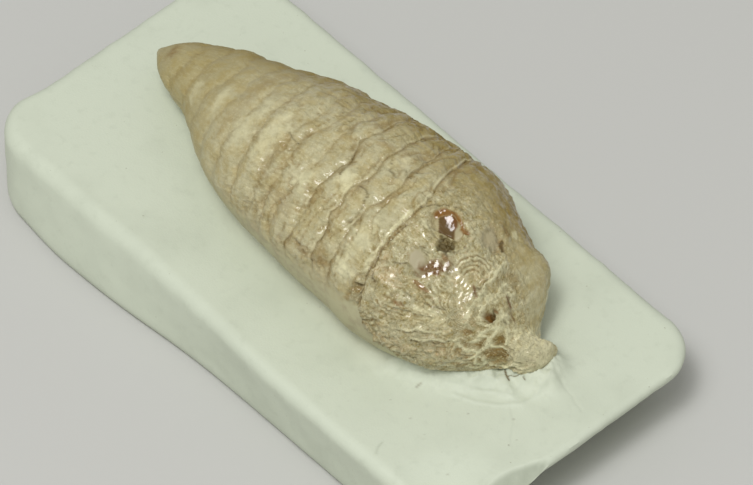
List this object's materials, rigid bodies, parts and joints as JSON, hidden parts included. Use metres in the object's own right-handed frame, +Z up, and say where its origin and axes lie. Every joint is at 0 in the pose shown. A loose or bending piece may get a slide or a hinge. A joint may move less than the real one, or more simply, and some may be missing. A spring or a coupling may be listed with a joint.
{
  "type": "spiral coprolite on a mounting block",
  "caption": "Tapering, spirally ledged fossil dropping with scale pits in its blunt head, fixed along the top of a rounded pale rectangular block.",
  "frame": {"origin": "middle of the block's underside, the bottom centre of the overall box", "axes": "+X along the block from the coprolite's thin tail to its blunt head, +Z up, +Y across the block"},
  "size_m": [0.0468, 0.024, 0.017],
  "materials": {
    "fossil": "dull fibrous phosphate with small glossy scales",
    "block": "smooth matt"
  },
  "bodies": {
    "root": {"coprolite": "fossil", "mounting_block": "block"}
  },
  "joints": []
}
